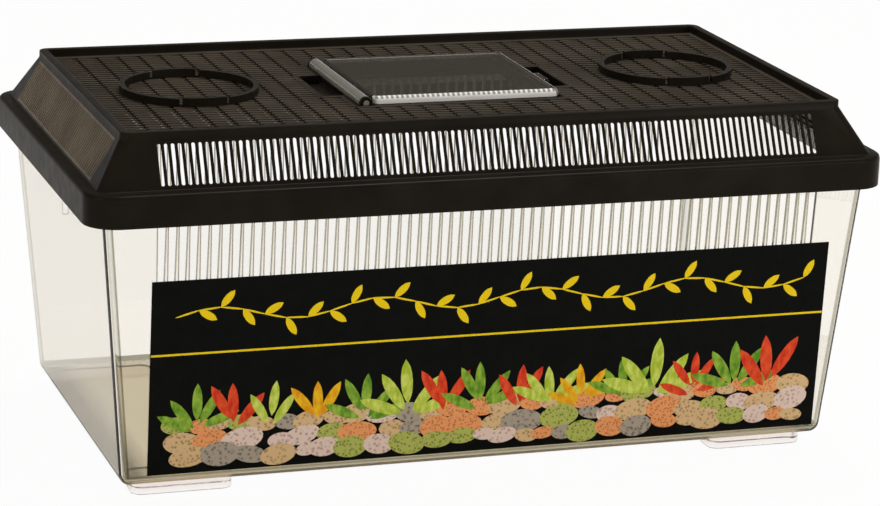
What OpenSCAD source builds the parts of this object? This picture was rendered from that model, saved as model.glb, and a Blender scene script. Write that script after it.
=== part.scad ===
// Flat plastic reptile terrarium. A clear tapered tank on four stacking feet carries a black
// lift-off lid with slotted slopes, a slotted top and a clear hinged hatch.
// Millimetres. Origin at the bottom centre, +X to the right, -Y to the front, +Z up.

/* [Tank] */
// Length over the walls at the rim
tank_l = 442; // [400:1:480]
// Width over the walls at the rim
tank_w = 242; // [225:1:280]
// Height of the tank without its feet
tank_h = 166.6; // [150:0.1:220]
// Lean of each end wall from rim to floor
taper_x = 14; // [4:0.5:16]
// Lean of each long wall from rim to floor
taper_y = 12; // [4:0.5:14]
// Corner radius of the walls
tank_r = 5; // [4.5:0.5:14]
// Wall thickness
tank_wall = 2.2; // [1.5:0.1:3]
// Floor thickness
floor_t = 2.6; // [1.8:0.1:4]
// Rounding of the bottom edge
base_round = 6; // [3:0.5:7]
// Thickness of the rim flange
rim_h = 3; // [2:0.1:5]

/* [Tank air slots] */
// Plain end of each long wall beside the slots
tank_slot_side = 28; // [26:1:60]
// Distance from slot to slot
tank_slot_pitch = 5.88; // [5.5:0.01:6]
// Slot width at the upper end
tank_slot_top = 4.95; // [4:0.05:5]
// Slot width at the lower end
tank_slot_low = 3.15; // [2:0.05:3.8]
// Slot length down the wall
tank_slot_h = 68; // [30:1:90]

/* [Feet] */
// Length of a foot along the tank
foot_l = 57; // [30:1:80]
// Width of a foot
foot_w = 20; // [14:1:30]
// Height of a foot
foot_h = 8; // [5:0.5:14]
// Radius of a foot's corners
foot_r = 6; // [2:0.5:6.5]
// How far a foot stands in from the tank's edge
foot_in = 8; // [7:0.5:14]

/* [Label] */
// Distance from the left rounded corner to the label
label_left = 9.5; // [0.5:0.5:60]
// Distance from the right rounded corner to the label
label_right = 1.5; // [0.5:0.5:60]
// Height of the printed label
label_h = 112; // [60:0.5:118]
// Distance from the end of the bottom rounding up to the label
label_up = 0.2; // [0:0.1:10]
// Thickness of the label
label_t = 0.3; // [0.2:0.05:0.6]

/* [Lid] */
// Wall thickness of the lid
lid_wall = 2.2; // [1.6:0.1:3]
// How far the skirt stands out from the tank
overhang = 9; // [8:0.5:14]
// Height of the skirt
skirt_h = 17.8; // [12:0.1:24]
// Corner radius of the skirt
skirt_r = 18; // [12:0.5:24]
// Chamfer on the skirt's upper edge
skirt_edge = 2.4; // [0.4:0.1:2.6]
// Height of the slopes above the ledge
slope_h = 24.7; // [22:0.1:34]
// How far the long slopes lean in
slope_run = 13; // [6:0.5:13.5]
// How far the end slopes lean in
end_run = 15; // [8:0.5:16]
// Corner radius of the slopes at the ledge
slope_r = 6; // [4:0.5:10]
// Height of the raised border round the top panel
lip_h = 4; // [2:0.1:6]
// Width of the raised border round the top panel
lip_w = 5; // [3:0.1:5]
// Corner radius of the raised border
lip_r = 5.5; // [5:0.5:12]
// Thickness of the panel's upper layer, the bars
bar_t = 1.2; // [0.8:0.1:2]
// Thickness of the panel's lower layer, the ribs
rib_t = 1.2; // [0.8:0.1:2]

/* [Slope vents] */
// Plain strip at each end of a long slope, measured at its upper edge
long_vent_side = 17; // [13:1:40]
// Plain strip at each end of an end slope, measured at its upper edge
end_vent_side = 11; // [11:1:40]
// Distance from slot to slot
vent_pitch = 3.72; // [3.4:0.01:3.8]
// Width of a slot
vent_slot = 2.1; // [1.4:0.05:2.6]
// Edge above and below the slots
vent_edge = 2.4; // [1.6:0.1:3]
// Plain strip round the slots that belongs to the vent panel
vent_margin = 1; // [0.6:0.1:1.4]

/* [Top grille] */
// Cell length
col_pitch = 12.5; // [11:0.05:13]
// Distance from slot to slot
row_pitch = 5.45; // [4.9:0.01:5.6]
// Width of the ribs between cells
rib_w = 1.7; // [1.2:0.1:2.5]
// Width of the bars between slots
bar_w = 2.3; // [1.5:0.1:3]
// Plain strip round the grille
grille_margin = 1; // [0.5:0.1:1.5]
// Least distance from the grille's plate to the raised border
grille_edge = 1; // [0.5:0.1:3]

/* [Rings] */
// Distance from a ring to the end of the grille
ring_end = 18.5; // [6:0.5:20]
// Outer radius of a ring
ring_r = 39.3; // [30:0.1:42]
// Wall of a ring
ring_wall = 3.2; // [1.6:0.1:4]
// Height of a ring
ring_h = 4.2; // [4.2:0.1:6]
// Half distance between a ring's two notches
notch_x = 13.4; // [8:0.1:18]
// Width of a notch
notch_w = 2.2; // [1:0.1:4]
// Extra height of the short arcs between the notches
arc_rise = 0.6; // [0.2:0.1:2]

/* [Hatch] */
// Grille cells that the hatch frame takes up to each side
hatch_cols = 5; // [4:1:5]
// Grille slots that the hatch frame takes up to the front and to the back
hatch_rows = 10; // [8:1:11]
// Grille slots that each finger recess takes up to the front and to the back
recess_rows = 5; // [3:1:6]
// Depth of the hatch frame
frame_depth = 7; // [6.5:0.5:9]
// Wall and floor of the hatch frame
frame_wall = 2; // [1.6:0.1:2.4]
// Open groove at each end of the hatch window
end_groove = 3; // [2:0.1:4]
// Height of the window over the panel
window_rise = 4.6; // [4.4:0.1:8]
// How far the window's long sides stand in from the hatch frame
window_in = 2.5; // [0:0.5:3]
// Width of the window's bevel
bevel_run = 3; // [2:0.5:10]
// Wall of the window
window_wall = 2; // [1.6:0.1:2.4]
// Corner radius of the window
window_r = 5; // [3:0.5:8]
// Radius of the hinge barrel
barrel_r = 3.6; // [3:0.1:4]
// Radius of the hinge pins
pin_r = 1.7; // [1.2:0.1:2]
// Thickness of the hinge ears
ear_t = 2.4; // [1.8:0.1:3]
// Length of the latch tab
tab_l = 9; // [6:0.5:10]
// Width of the latch tab
tab_w = 18; // [10:1:26]
// Thickness of the latch tab
tab_t = 2; // [1.4:0.1:3]

/* [Clearances] */
// Air between the window and the lid
rest_gap = 0.3; // [0.2:0.05:0.5]
// Air between the tank's rim and the skirt
lid_gap = 0.8; // [0.4:0.1:1.5]
// Air round the hinge pins
pin_gap = 0.1; // [0.05:0.01:0.1]
// Air between the latch leg and its catch
catch_gap = 0.3; // [0.2:0.05:0.5]

/* [Hidden] */
$fn = 32;
tiny = 0.02;

tank_z = foot_h;
tank_top = tank_z + tank_h;
lean_y = atan2(taper_y, tank_h);

rim_out = overhang - lid_wall - lid_gap;

lid_l = tank_l + 2 * overhang;
lid_w = tank_w + 2 * overhang;
panel_t = bar_t + rib_t;
ledge_z = tank_top + lid_wall;
skirt_z = ledge_z - skirt_h;
panel_z = ledge_z + slope_h;
lip_out_l = tank_l - 2 * slope_run;
lip_out_w = tank_w - 2 * slope_run;
slope_l = lip_out_l + 2 * end_run;
slope_wall = lid_wall / sin(atan2(slope_h, end_run));

// Numbers of slots and cells, from the room that the walls, slopes and panel give
tank_slots = 1 + 2 * floor((tank_l / 2 - tank_slot_side) / tank_slot_pitch);
long_vent_slots = slots_in(lip_out_l - 2 * long_vent_side);
end_vent_slots = slots_in(lip_out_w - 2 * end_vent_side);
grille_cols = even_cells(lip_out_l - 2 * lip_w - 2 * grille_edge - rib_w, col_pitch);
grille_rows = even_cells(lip_out_w - 2 * lip_w - 2 * grille_edge - bar_w, row_pitch);
grille_l = grille_cols * col_pitch + rib_w + 2 * grille_margin;
grille_w = grille_rows * row_pitch + bar_w + 2 * grille_margin;
ring_x = grille_l / 2 - ring_end - ring_r;

// Outline of the hatch frame and of the window that closes it
frame_l = 2 * hatch_cols * col_pitch;
frame_w = 2 * hatch_rows * row_pitch;
recess_l = frame_l + 2 * col_pitch;
recess_w = 2 * recess_rows * row_pitch;
window_l = frame_l - 2 * end_groove;
window_w = frame_w - 2 * window_in;
window_z = panel_z + rest_gap;
window_top = panel_z + window_rise;
hinge_x = -window_l / 2 + barrel_r;
hinge_z = window_top - barrel_r;
barrel_end = frame_w / 2 - frame_wall - ear_t - rest_gap;
pane_x = hinge_x + barrel_r + rest_gap;
coaming_x = window_l / 2 - frame_wall - end_groove - catch_gap;
coaming_y = frame_w / 2 - frame_wall;
leg_x = window_l / 2 - window_wall;

// Length up a slope that leans in by run
function slope_len(run) = sqrt(slope_h * slope_h + run * run);

// Number of vent slots that fit a length
function slots_in(l) = 1 + floor((l - vent_slot - 2 * vent_margin) / vent_pitch);

// Even number of grille cells that fit a length
function even_cells(l, pitch) = 2 * floor((l - 2 * grille_margin) / (2 * pitch));

// Length and width of the tank's outside at height z
function tank_l_at(z) = tank_l - 2 * taper_x * (tank_top - z) / tank_h;
function tank_w_at(z) = tank_w - 2 * taper_y * (tank_top - z) / tank_h;

// A flat rounded rectangle with true arcs
module rounded(l, w, r) {
    square([l - 2 * r, w], center = true);
    square([l, w - 2 * r], center = true);
    for (x = [-1, 1], y = [-1, 1])
        translate([x * (l / 2 - r), y * (w / 2 - r)]) circle(r);
}

// A straight rounded block from height z
module slab(l, w, r, z, h) {
    translate([0, 0, z]) linear_extrude(h) rounded(l, w, r);
}

// One thin level of a hulled body
module level(l, w, r, z) {
    slab(l, w, max(r, 0.5), z, tiny);
}

// The tank's body, drawn in by cut on all sides, from height z to height top
module tank_body(cut, z, top) {
    e = base_round - cut;
    hull() {
        level(tank_l_at(top) - 2 * cut, tank_w_at(top) - 2 * cut, tank_r - cut, top - tiny);
        for (a = [0 : 22.5 : 90]) {
            h = z + e * (1 - cos(a));
            d = cut + e * (1 - sin(a));
            level(tank_l_at(h) - 2 * d, tank_w_at(h) - 2 * d, tank_r - d, h);
        }
    }
}

// Cutter for one tank slot, through both long walls
module tank_slot() {
    a = tank_slot_top / 2;
    b = tank_slot_low / 2;
    rotate([90, 0, 0])
        linear_extrude(tank_w + 4 * rim_out, center = true)
            polygon([[-b, 0], [b, 0], [a, tank_slot_h], [-a, tank_slot_h]]);
}

module tank_shell() {
    slot_z = tank_top - rim_h - 1 - tank_slot_h;
    color([0.90, 0.88, 0.80, 0.45])
    difference() {
        union() {
            tank_body(0, tank_z, tank_top);
            slab(tank_l + 2 * rim_out, tank_w + 2 * rim_out, skirt_r - lid_wall - lid_gap,
                 tank_top - rim_h, rim_h);
        }
        tank_body(tank_wall, tank_z + floor_t, tank_top + 1);
        for (i = [0 : tank_slots - 1])
            translate([(i - (tank_slots - 1) / 2) * tank_slot_pitch, 0, slot_z]) tank_slot();
    }
}

// A foot under the corner that sx and sy name with their signs
module foot(sx, sy) {
    x = tank_l_at(tank_z) / 2 - foot_in - foot_l / 2;
    y = tank_w_at(tank_z) / 2 - foot_in - foot_w / 2;
    color([0.95, 0.92, 0.88, 0.6])
    translate([sx * x, sy * y, 0])
        slab(foot_l, foot_w, foot_r, 0, foot_h);
}

module front_left_foot() { foot(-1, -1); }
module front_right_foot() { foot(1, -1); }
module rear_left_foot() { foot(-1, 1); }
module rear_right_foot() { foot(1, 1); }

// Places things on the outside of the front wall, local y up the wall and local z outward
module on_front_wall(z) {
    translate([0, -tank_w_at(z) / 2, z]) rotate([90 + lean_y, 0, 0]) children();
}

module front_label() {
    z = tank_z + base_round + label_up;
    flat = tank_l_at(z) - 2 * tank_r;
    color([0.05, 0.06, 0.05])
    on_front_wall(z)
        translate([label_left - flat / 2, 0, tiny])
            cube([flat - label_left - label_right, label_h, label_t]);
}

// Places things on a slope: local x along its foot, local y up it, local z outward
module on_slope(turn, width, run) {
    rotate([0, 0, turn])
        translate([0, -width / 2, ledge_z])
            rotate([atan2(slope_h, run), 0, 0]) children();
}

// Outline of a vent panel with a number of slots
module vent_outline(slots, run) {
    l = (slots - 1) * vent_pitch + vent_slot + 2 * vent_margin;
    low = vent_edge - vent_margin;
    translate([-l / 2, low]) square([l, slope_len(run) - 2 * low]);
}

module vent_slot_shape(run) {
    r = vent_slot / 2;
    high = slope_len(run) - vent_edge;
    translate([-r, vent_edge + r]) square([vent_slot, high - vent_edge - vent_slot]);
    for (y = [vent_edge + r, high - r]) translate([0, y]) circle(r);
}

module vent(slots, turn, width, run) {
    color([0.13, 0.12, 0.11])
    on_slope(turn, width, run)
        translate([0, 0, -lid_wall])
            linear_extrude(lid_wall)
                difference() {
                    vent_outline(slots, run);
                    for (i = [0 : slots - 1])
                        translate([(i - (slots - 1) / 2) * vent_pitch, 0]) vent_slot_shape(run);
                }
}

module front_vent() { vent(long_vent_slots, 0, tank_w, slope_run); }
module rear_vent() { vent(long_vent_slots, 180, tank_w, slope_run); }
module left_vent() { vent(end_vent_slots, -90, slope_l, end_run); }
module right_vent() { vent(end_vent_slots, 90, slope_l, end_run); }

// Window in a slope for its vent panel
module vent_window(slots, turn, width, run) {
    on_slope(turn, width, run)
        translate([0, 0, -3 * lid_wall])
            linear_extrude(6 * lid_wall) vent_outline(slots, run);
}

// The lid's sloping body, drawn in by cut, from below the ledge to height top
module slope_body(cut, low, top) {
    grow = 2 * (ledge_z - low) / slope_h;
    shrink = 2 * (top - ledge_z) / slope_h;
    hull() {
        level(slope_l + grow * end_run - 2 * cut, tank_w + grow * slope_run - 2 * cut,
              slope_r - cut, low);
        level(slope_l - shrink * end_run - 2 * cut, tank_w - shrink * slope_run - 2 * cut,
              lip_r - cut, top - tiny);
    }
}

module lid_frame() {
    inner_l = lid_l - 2 * lid_wall;
    inner_w = lid_w - 2 * lid_wall;
    color([0.13, 0.12, 0.11])
    difference() {
        union() {
            slab(lid_l, lid_w, skirt_r, skirt_z, skirt_h - skirt_edge);
            hull() {
                level(lid_l, lid_w, skirt_r, ledge_z - skirt_edge);
                level(lid_l - 2 * skirt_edge, lid_w - 2 * skirt_edge,
                      skirt_r - skirt_edge, ledge_z - tiny);
            }
            slope_body(0, ledge_z - lid_wall / 2, panel_z);
            slab(lip_out_l, lip_out_w, lip_r, panel_z - tiny, lip_h + tiny);
        }
        slab(inner_l, inner_w, skirt_r - lid_wall, skirt_z - 1, skirt_h - lid_wall + 1);
        slope_body(slope_wall, tank_top - 1, panel_z - panel_t);
        slab(lip_out_l - 2 * lip_w, lip_out_w - 2 * lip_w, lip_r - lip_w + 1, panel_z, lip_h + 1);
        translate([-grille_l / 2, -grille_w / 2, panel_z - 2 * panel_t])
            cube([grille_l, grille_w, 4 * panel_t]);
        vent_window(long_vent_slots, 0, tank_w, slope_run);
        vent_window(long_vent_slots, 180, tank_w, slope_run);
        vent_window(end_vent_slots, -90, slope_l, end_run);
        vent_window(end_vent_slots, 90, slope_l, end_run);
    }
}

// Outline of the hatch frame: the hatch with a finger recess at each end
module hatch_outline(inset) {
    square([frame_l - 2 * inset, frame_w - 2 * inset], center = true);
    square([recess_l - 2 * inset, recess_w - 2 * inset], center = true);
}

// Cuts the panel's slots along its length or across it. A line of cells that meets the hatch
// is cut as two slots that stop at the hatch frame.
module slots(count, pitch, width, reach, wide_lines, wide_stop, long_lines, long_stop) {
    for (i = [0 : count - 1]) {
        c = abs(i - (count - 1) / 2);
        stop = c < long_lines ? long_stop : c < wide_lines ? wide_stop : 0;
        for (s = [-1, 1])
            translate([s * (reach + stop) / 2, (i - (count - 1) / 2) * pitch])
                square([reach - stop, width], center = true);
    }
}

// The panel's plain plate, with the hatch taken out
module panel_layer(z, h, colour) {
    color(colour)
    translate([0, 0, z])
        linear_extrude(h)
            difference() {
                square([grille_l, grille_w], center = true);
                hatch_outline(0);
                children();
            }
}

// Upper layer of the top panel: bars along the lid with slots between them
module top_bars() {
    edge = rib_w / 2;
    panel_layer(panel_z - bar_t, bar_t, [0.17, 0.15, 0.14])
        slots(grille_rows, row_pitch, row_pitch - bar_w, grille_cols * col_pitch / 2 - edge,
              hatch_rows, frame_l / 2 + edge, recess_rows, recess_l / 2 + edge);
}

// Lower layer of the top panel: ribs across the lid that join the bars
module top_ribs() {
    edge = bar_w / 2;
    panel_layer(panel_z - panel_t, rib_t, [0.12, 0.11, 0.10])
        rotate([0, 0, 90])
            slots(grille_cols, col_pitch, col_pitch - rib_w, grille_rows * row_pitch / 2 - edge,
                  hatch_cols + 1, recess_w / 2 + edge, hatch_cols, frame_w / 2 + edge);
}

// A raised ring on the grille with two notches at the front and two at the back
module ring(x) {
    color([0.12, 0.11, 0.10])
    translate([x, 0, panel_z])
        difference() {
            union() {
                cylinder(r = ring_r, h = ring_h);
                intersection() {
                    cylinder(r = ring_r, h = ring_h + arc_rise);
                    translate([-notch_x, -ring_r, 0])
                        cube([2 * notch_x, 2 * ring_r, ring_h + arc_rise]);
                }
            }
            translate([0, 0, -1]) cylinder(r = ring_r - ring_wall, h = ring_h + arc_rise + 2);
            for (s = [-1, 1])
                translate([s * notch_x - notch_w / 2, -ring_r - 1, 1])
                    cube([notch_w, 2 * ring_r + 2, ring_h + arc_rise]);
        }
}

module left_ring() { ring(-ring_x); }
module right_ring() { ring(ring_x); }

// One hinge ear on the floor of the hatch frame, at the y where it starts
module hinge_ear(y) {
    z = panel_z - frame_depth;
    translate([hinge_x, y + ear_t, hinge_z])
        rotate([90, 0, 0])
            difference() {
                linear_extrude(ear_t) {
                    circle(barrel_r);
                    translate([-barrel_r, z - hinge_z]) square([2 * barrel_r, hinge_z - z]);
                }
                translate([0, 0, -1]) cylinder(r = pin_r + pin_gap, h = ear_t + 2);
            }
}

module hatch_frame() {
    z = panel_z - frame_depth;
    hole_l = 2 * coaming_x - 2 * frame_wall;
    hole_w = 2 * coaming_y - 2 * frame_wall;
    left = pane_x + end_groove;
    color([0.11, 0.10, 0.09]) {
        difference() {
            translate([0, 0, z]) linear_extrude(frame_depth) hatch_outline(0);
            translate([0, 0, z + frame_wall]) linear_extrude(frame_depth)
                difference() {
                    hatch_outline(frame_wall);
                    translate([left, -coaming_y - 1])
                        square([coaming_x - left, 2 * coaming_y + 2]);
                }
            translate([left + frame_wall, -hole_w / 2, z - 1])
                cube([coaming_x - left - 2 * frame_wall, hole_w, frame_depth + 2]);
        }
        hinge_ear(-barrel_end - rest_gap - ear_t);
        hinge_ear(barrel_end + rest_gap);
        translate([coaming_x, -tab_w / 3, z + frame_wall])
            cube([leg_x - catch_gap - coaming_x, 2 * tab_w / 3, frame_depth - frame_wall - 2]);
    }
}

// The window's dome, drawn in by cut; its left side runs straight up beside the barrel
module window_body(cut, low, top) {
    far = window_l / 2;
    r = window_r;
    hull() {
        translate([(pane_x + far) / 2, 0, 0])
            level(far - pane_x - 2 * cut, window_w - 2 * cut, r - cut, low);
        translate([(pane_x + far - bevel_run) / 2, 0, 0])
            level(far - bevel_run - pane_x - 2 * cut, window_w - 2 * bevel_run - 2 * cut,
                  r - cut, top - tiny);
    }
}

module hatch_window() {
    color([0.92, 0.93, 0.90, 0.4])
    difference() {
        window_body(0, window_z, window_top);
        window_body(window_wall, window_z - 1, window_top - window_wall);
    }
}

module hatch_hinge_barrel() {
    pin_end = barrel_end + rest_gap + ear_t;
    color([0.92, 0.93, 0.90, 0.5])
    translate([hinge_x, 0, hinge_z]) {
        rotate([90, 0, 0]) {
            cylinder(r = barrel_r, h = 2 * barrel_end, center = true);
            cylinder(r = pin_r, h = 2 * pin_end, center = true);
        }
        translate([0, -barrel_end, -barrel_r / 2])
            cube([pane_x - hinge_x, 2 * barrel_end, barrel_r]);
    }
}

module hatch_latch_tab() {
    leg_low = panel_z - frame_depth + frame_wall + rest_gap;
    color([0.92, 0.93, 0.90, 0.5]) {
        translate([leg_x, -tab_w / 2, window_z - tab_t])
            cube([window_wall + tab_l, tab_w, tab_t]);
        translate([leg_x, -tab_w / 3, leg_low])
            cube([window_wall, 2 * tab_w / 3, window_z - tab_t - leg_low]);
    }
}

tank_shell();
front_left_foot();
front_right_foot();
rear_left_foot();
rear_right_foot();
front_label();
lid_frame();
front_vent();
rear_vent();
left_vent();
right_vent();
top_bars();
top_ribs();
left_ring();
right_ring();
hatch_frame();
hatch_window();
hatch_hinge_barrel();
hatch_latch_tab();
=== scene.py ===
"""Dresses a flat reptile terrarium: clear tank, feet and label, black slotted lid, clear hatch."""

import math
import random

import bmesh
import bpy
from mathutils import Matrix, Vector


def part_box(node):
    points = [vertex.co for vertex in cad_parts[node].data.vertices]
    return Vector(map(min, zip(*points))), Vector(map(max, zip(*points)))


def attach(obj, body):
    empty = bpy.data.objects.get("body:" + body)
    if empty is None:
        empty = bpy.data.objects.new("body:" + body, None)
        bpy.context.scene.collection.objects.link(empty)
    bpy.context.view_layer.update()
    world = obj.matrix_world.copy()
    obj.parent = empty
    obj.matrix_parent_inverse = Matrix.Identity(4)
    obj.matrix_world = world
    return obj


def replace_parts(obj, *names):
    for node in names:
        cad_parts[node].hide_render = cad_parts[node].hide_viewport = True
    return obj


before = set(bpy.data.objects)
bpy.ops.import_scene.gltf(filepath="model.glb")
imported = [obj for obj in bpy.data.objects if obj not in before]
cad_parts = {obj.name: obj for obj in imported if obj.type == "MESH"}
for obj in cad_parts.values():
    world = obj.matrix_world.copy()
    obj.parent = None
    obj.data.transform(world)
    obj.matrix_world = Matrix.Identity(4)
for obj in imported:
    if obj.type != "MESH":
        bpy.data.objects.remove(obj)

bl_info = {
    "name": "Flat Terrarium",
    "version": (1, 0, 0),
    "blender": (4, 5, 0),
    "location": "View3D > Sidebar > Terrarium",
    "description": "Clear tank, slotted black lid and hinged hatch of a flat reptile terrarium",
    "category": "Add Mesh",
}

MM = 0.001
DOUBLES = 2e-6
TANK_LOW, RIM = (corner.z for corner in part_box("tank_shell"))
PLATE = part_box("top_bars")[1]
PANEL = PLATE.z

# The vents, turned from the front one, and the plain edge at both ends of their slots.
VENT_TURNS = {"front_vent": 0, "right_vent": 90, "rear_vent": 180, "left_vent": -90}
VENT_EDGE = 2.4 * MM

# The top panel: cells to each side, last rows outward, beside the hatch and beside a recess.
CELLS_ASIDE, LAST_ROW, HATCH_ROW, RECESS_ROW = 16, 17, 10, 5
RIB_HALF = 0.85 * MM

# The label: its film and the ink on it, and the height of its yellow line.
FILM, INK = 0.16 * MM, 0.02 * MM
LINE_HEIGHT = 69.6 * MM

# The photograph's frame, with the lens and its middle in pixels, and the point looked at.
PHOTO_WIDE, PHOTO_TALL = 880, 506
LENS, LENS_MIDDLE = 3322.9, (443.98, 252.3)
LOOKED_AT = Vector((-13.2, -68.97, 118.72)) * MM
SENSOR = 36


def length(name, description, value):
    """A size in metres for a property group, given in millimetres."""
    return bpy.props.FloatProperty(
        name=name, description=description, default=value * MM, unit="LENGTH", precision=5
    )


def colour(name, description, value):
    return bpy.props.FloatVectorProperty(
        name=name, description=description, default=value, size=3, min=0, max=1, subtype="COLOR"
    )


class TankSizes(bpy.types.PropertyGroup):
    length_top: length("Length at the rim", "Length over the walls at the rim", 442)
    width_top: length("Width at the rim", "Width over the walls at the rim", 242)
    lean_x: length("End wall lean", "How far each end wall comes in down to the floor", 14)
    lean_y: length("Long wall lean", "How far each long wall comes in down to the floor", 12)
    wall: length("Wall", "Thickness of the walls", 2.2)
    floor: length("Floor", "Thickness of the floor", 2.6)
    corner: length("Corner radius", "Radius of the upright corners", 5)
    base: length("Base rounding", "Rounding between walls and floor", 6)
    rim_out: length("Rim", "How far the rim stands out from the walls", 6)
    rim_height: length("Rim thickness", "Thickness of the rim", 3)
    slots: bpy.props.IntProperty(
        name="Slots", description="Slots in each long wall", default=65, min=1
    )
    slot_pitch: length("Slot pitch", "Distance from slot to slot", 5.88)
    slot_top: length("Slot width above", "Width of a slot at its upper end", 4.95)
    slot_low: length("Slot width below", "Width of a slot at its lower end", 3.15)
    slot_height: length("Slot length", "Length of a slot down the wall", 68)


class LidSizes(bpy.types.PropertyGroup):
    overhang: length("Overhang", "How far the skirt stands out from the tank", 9)
    wall: length("Wall", "Thickness of the lid", 2.2)
    skirt: length("Skirt", "Height of the skirt", 17.8)
    slope_run: length("Slope run", "How far the long slopes lean in", 13)
    end_run: length("End slope run", "How far the end slopes lean in", 15)
    border: length("Border height", "Height of the raised border", 4)
    border_width: length("Border width", "Width of the raised border", 5)
    vent_pitch: length("Vent pitch", "Distance from slot to slot in the slopes", 3.72)
    vent_slot: length("Vent slot", "Width of a slot in the slopes", 2.1)
    vent_wall: length("Vent wall", "Thickness of the slotted panels", 0.9)
    col_pitch: length("Cell length", "Distance from rib to rib in the top panel", 12.5)
    row_pitch: length("Row pitch", "Distance from bar to bar in the top panel", 5.45)
    bar: length("Bar width", "Width of a bar of the top panel", 2.3)
    bar_height: length("Bar height", "Height of a bar of the top panel", 1.2)


class HatchSizes(bpy.types.PropertyGroup):
    bevel: length("Window bevel", "Radius of the window's rounded edge", 3)
    wall: length("Window wall", "Thickness of the window", 2)
    edge: length("Edge rounding", "Softness of the frame's moulded edges", 0.35)


class Finishes(bpy.types.PropertyGroup):
    lid: colour("Lid", "Black plastic of the lid", (0.0128, 0.0102, 0.0072))
    grille: colour("Top panel", "Black plastic of the top panel's bars", (0.010, 0.0082, 0.0062))
    tank: colour("Tank", "Tint of the clear tank in its depth", (0.80, 0.56, 0.08))
    # Painted shade: the tank floor's tint stands in for the shade under the tank, seen through its
    # floor.
    floor: colour("Tank floor", "Tint of the tank's floor", (0.56, 0.54, 0.43))
    # Painted shade: a much darker floor tint close to the end walls.
    floor_rim_painted_shade: colour("Floor rim", "Tint of the floor beside the end walls", (0.08, 0.07, 0.04))
    # Painted shade: a dark olive tint on the tank's upright corners and bottom edge.
    edge: colour("Tank corners", "Tint of the tank's corners and bottom edge", (0.34, 0.32, 0.24))
    # Painted shade: dark lines along the edges of the tank's slots.
    slot_edge_painted_shade: colour("Slot edges", "Tint of the tank's slot edges", (0.26, 0.235, 0.17))
    hatch: colour("Hatch", "Tint of the clear hatch in its depth", (0.62, 0.55, 0.38))
    foot: colour("Feet", "Tint of the clear feet in their depth", (0.84, 0.70, 0.62))
    print_field: colour("Label", "Black field of the label", (0.0022, 0.0026, 0.0022))
    print_line: colour("Label line", "Yellow line of the label", (0.86, 0.62, 0.012))


class StageSettings(bpy.types.PropertyGroup):
    camera_turn: bpy.props.FloatProperty(
        name="Camera turn", description="Camera's turn round the object",
        default=math.radians(-18.86), subtype="ANGLE",
    )
    camera_rise: bpy.props.FloatProperty(
        name="Camera rise", description="Camera's angle above the horizon",
        default=math.radians(15.54), subtype="ANGLE",
    )
    camera_roll: bpy.props.FloatProperty(
        name="Camera roll", description="Camera's lean about its own line of sight",
        default=math.radians(1.87), subtype="ANGLE",
    )
    camera_away: length("Camera distance", "Distance from the point looked at", 1867)
    floor_glow: bpy.props.FloatProperty(
        name="Floor evenness", description="How far the pale floor hides soft shadows",
        default=0.96, min=0, max=1, subtype="FACTOR",
    )


def deselect():
    bpy.ops.object.select_all(action="DESELECT")


def only(obj):
    """Leaves this object alone selected and active."""
    deselect()
    obj.select_set(True)
    bpy.context.view_layer.objects.active = obj


def edit(obj):
    only(obj)
    bpy.ops.object.mode_set(mode="EDIT")


def leave():
    bpy.ops.object.mode_set(mode="OBJECT")


def pick(obj, test, kind="VERT"):
    """In edit mode, selects the vertices, edges or faces that pass a test."""
    bpy.ops.mesh.select_mode(type=kind)
    bpy.ops.mesh.select_all(action="DESELECT")
    mesh = bmesh.from_edit_mesh(obj.data)
    for item in {"VERT": mesh.verts, "EDGE": mesh.edges, "FACE": mesh.faces}[kind]:
        if test(item):
            item.select_set(True)
    mesh.select_flush_mode()
    bmesh.update_edit_mesh(obj.data)


def pick_all():
    bpy.ops.mesh.select_all(action="SELECT")


def extrude(height):
    """Draws the selection up into new walls, or into a copy of itself in place."""
    bpy.ops.mesh.extrude_region_move(TRANSFORM_OT_translate={"value": (0, 0, height)})


def chosen(obj):
    """Indices of the selected vertices."""
    return {v.index for v in bmesh.from_edit_mesh(obj.data).verts if v.select}


def pick_these(obj, indices):
    pick(obj, lambda v: v.index in indices)


def recalculated(obj):
    """Merges doubles and turns all faces outward."""
    edit(obj)
    pick_all()
    bpy.ops.mesh.remove_doubles(threshold=DOUBLES)
    bpy.ops.mesh.normals_make_consistent(inside=False)
    leave()
    return obj


def apply_all(obj):
    only(obj)
    for modifier in list(obj.modifiers):
        bpy.ops.object.modifier_apply(modifier=modifier.name)
    return obj


def softened(obj, width, segments=2, angle=35):
    """Rounds the edges that are sharper than the angle."""
    only(obj)
    bpy.ops.object.modifier_add(type="BEVEL")
    bevel = obj.modifiers[-1]
    bevel.width, bevel.segments = width, segments
    bevel.limit_method, bevel.angle_limit = "ANGLE", math.radians(angle)
    bevel.use_clamp_overlap = True
    return apply_all(obj)


def smoothed(obj, angle=32):
    """Smooth shading with flat faces kept flat."""
    only(obj)
    bpy.ops.object.shade_smooth_by_angle(angle=math.radians(angle))
    bpy.ops.object.modifier_add(type="WEIGHTED_NORMAL")
    obj.modifiers[-1].keep_sharp = True
    return apply_all(obj)


def carved(obj, cutter):
    """Cuts one shape out of another, and removes the cutter."""
    only(obj)
    bpy.ops.object.modifier_add(type="BOOLEAN")
    cut = obj.modifiers[-1]
    cut.operation, cut.solver, cut.object = "DIFFERENCE", "EXACT", cutter
    apply_all(obj)
    bpy.data.objects.remove(cutter)
    return obj


def repeated(obj, count, step, merge=False):
    """Applies an array of copies, each moved on by the step."""
    only(obj)
    bpy.ops.object.modifier_add(type="ARRAY")
    row = obj.modifiers[-1]
    row.count, row.use_relative_offset, row.use_constant_offset = count, False, True
    row.constant_offset_displace = step
    row.use_merge_vertices, row.merge_threshold = merge, 1e-5
    return apply_all(obj)


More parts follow.
